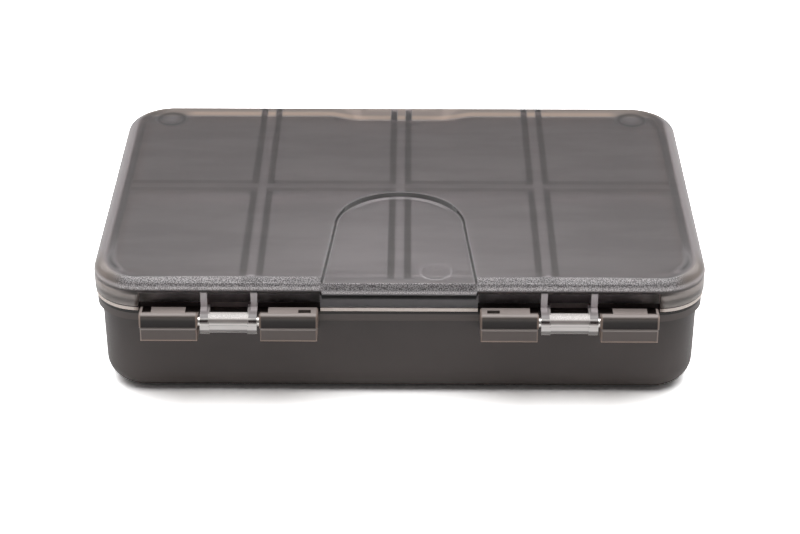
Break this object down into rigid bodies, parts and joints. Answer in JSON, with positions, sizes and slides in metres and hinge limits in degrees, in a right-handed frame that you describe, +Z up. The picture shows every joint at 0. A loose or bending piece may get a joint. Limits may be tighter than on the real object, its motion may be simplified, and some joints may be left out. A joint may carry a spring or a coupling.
{
  "type": "compartment tackle box",
  "caption": "Pocket tackle box with a smoky hinged lid over a dark moulded base divided into fixed compartments, steel hinge pins and a flip latch.",
  "frame": {"origin": "centre of the lid's outline on the flat underside", "axes": "+X along the hinge line to the right as seen from the hinge side, +Y from the hinge side to the opening side, +Z up through the lid"},
  "size_m": [0.105, 0.0715, 0.0234],
  "materials": {
    "base_plastic": "dark smoky brown moulded plastic, satin",
    "lid_plastic": "smoky clear moulded plastic with a fine grain",
    "seal_rubber": "pale soft seal",
    "pin_steel": "bright drawn steel",
    "latch_plastic": "dark smoky moulded plastic"
  },
  "bodies": {
    "base": {"base": "base_plastic", "hinge_pin_left": "pin_steel", "hinge_pin_right": "pin_steel"},
    "lid": {"lid": "lid_plastic", "lid_seal": "seal_rubber", "latch_pin": "pin_steel"},
    "latch": {"latch": "latch_plastic"}
  },
  "joints": [
    {"name": "lid_hinge", "type": "hinge", "parent": "base", "child": "lid", "pos_m": [0, -0.0355, 0.0165], "axis": [1, 0, 0], "range_deg": [0, 180]},
    {"name": "latch_pivot", "type": "hinge", "parent": "lid", "child": "latch", "pos_m": [0, 0.0324, 0.0203], "axis": [1, 0, 0], "range_deg": [0, 100]}
  ]
}
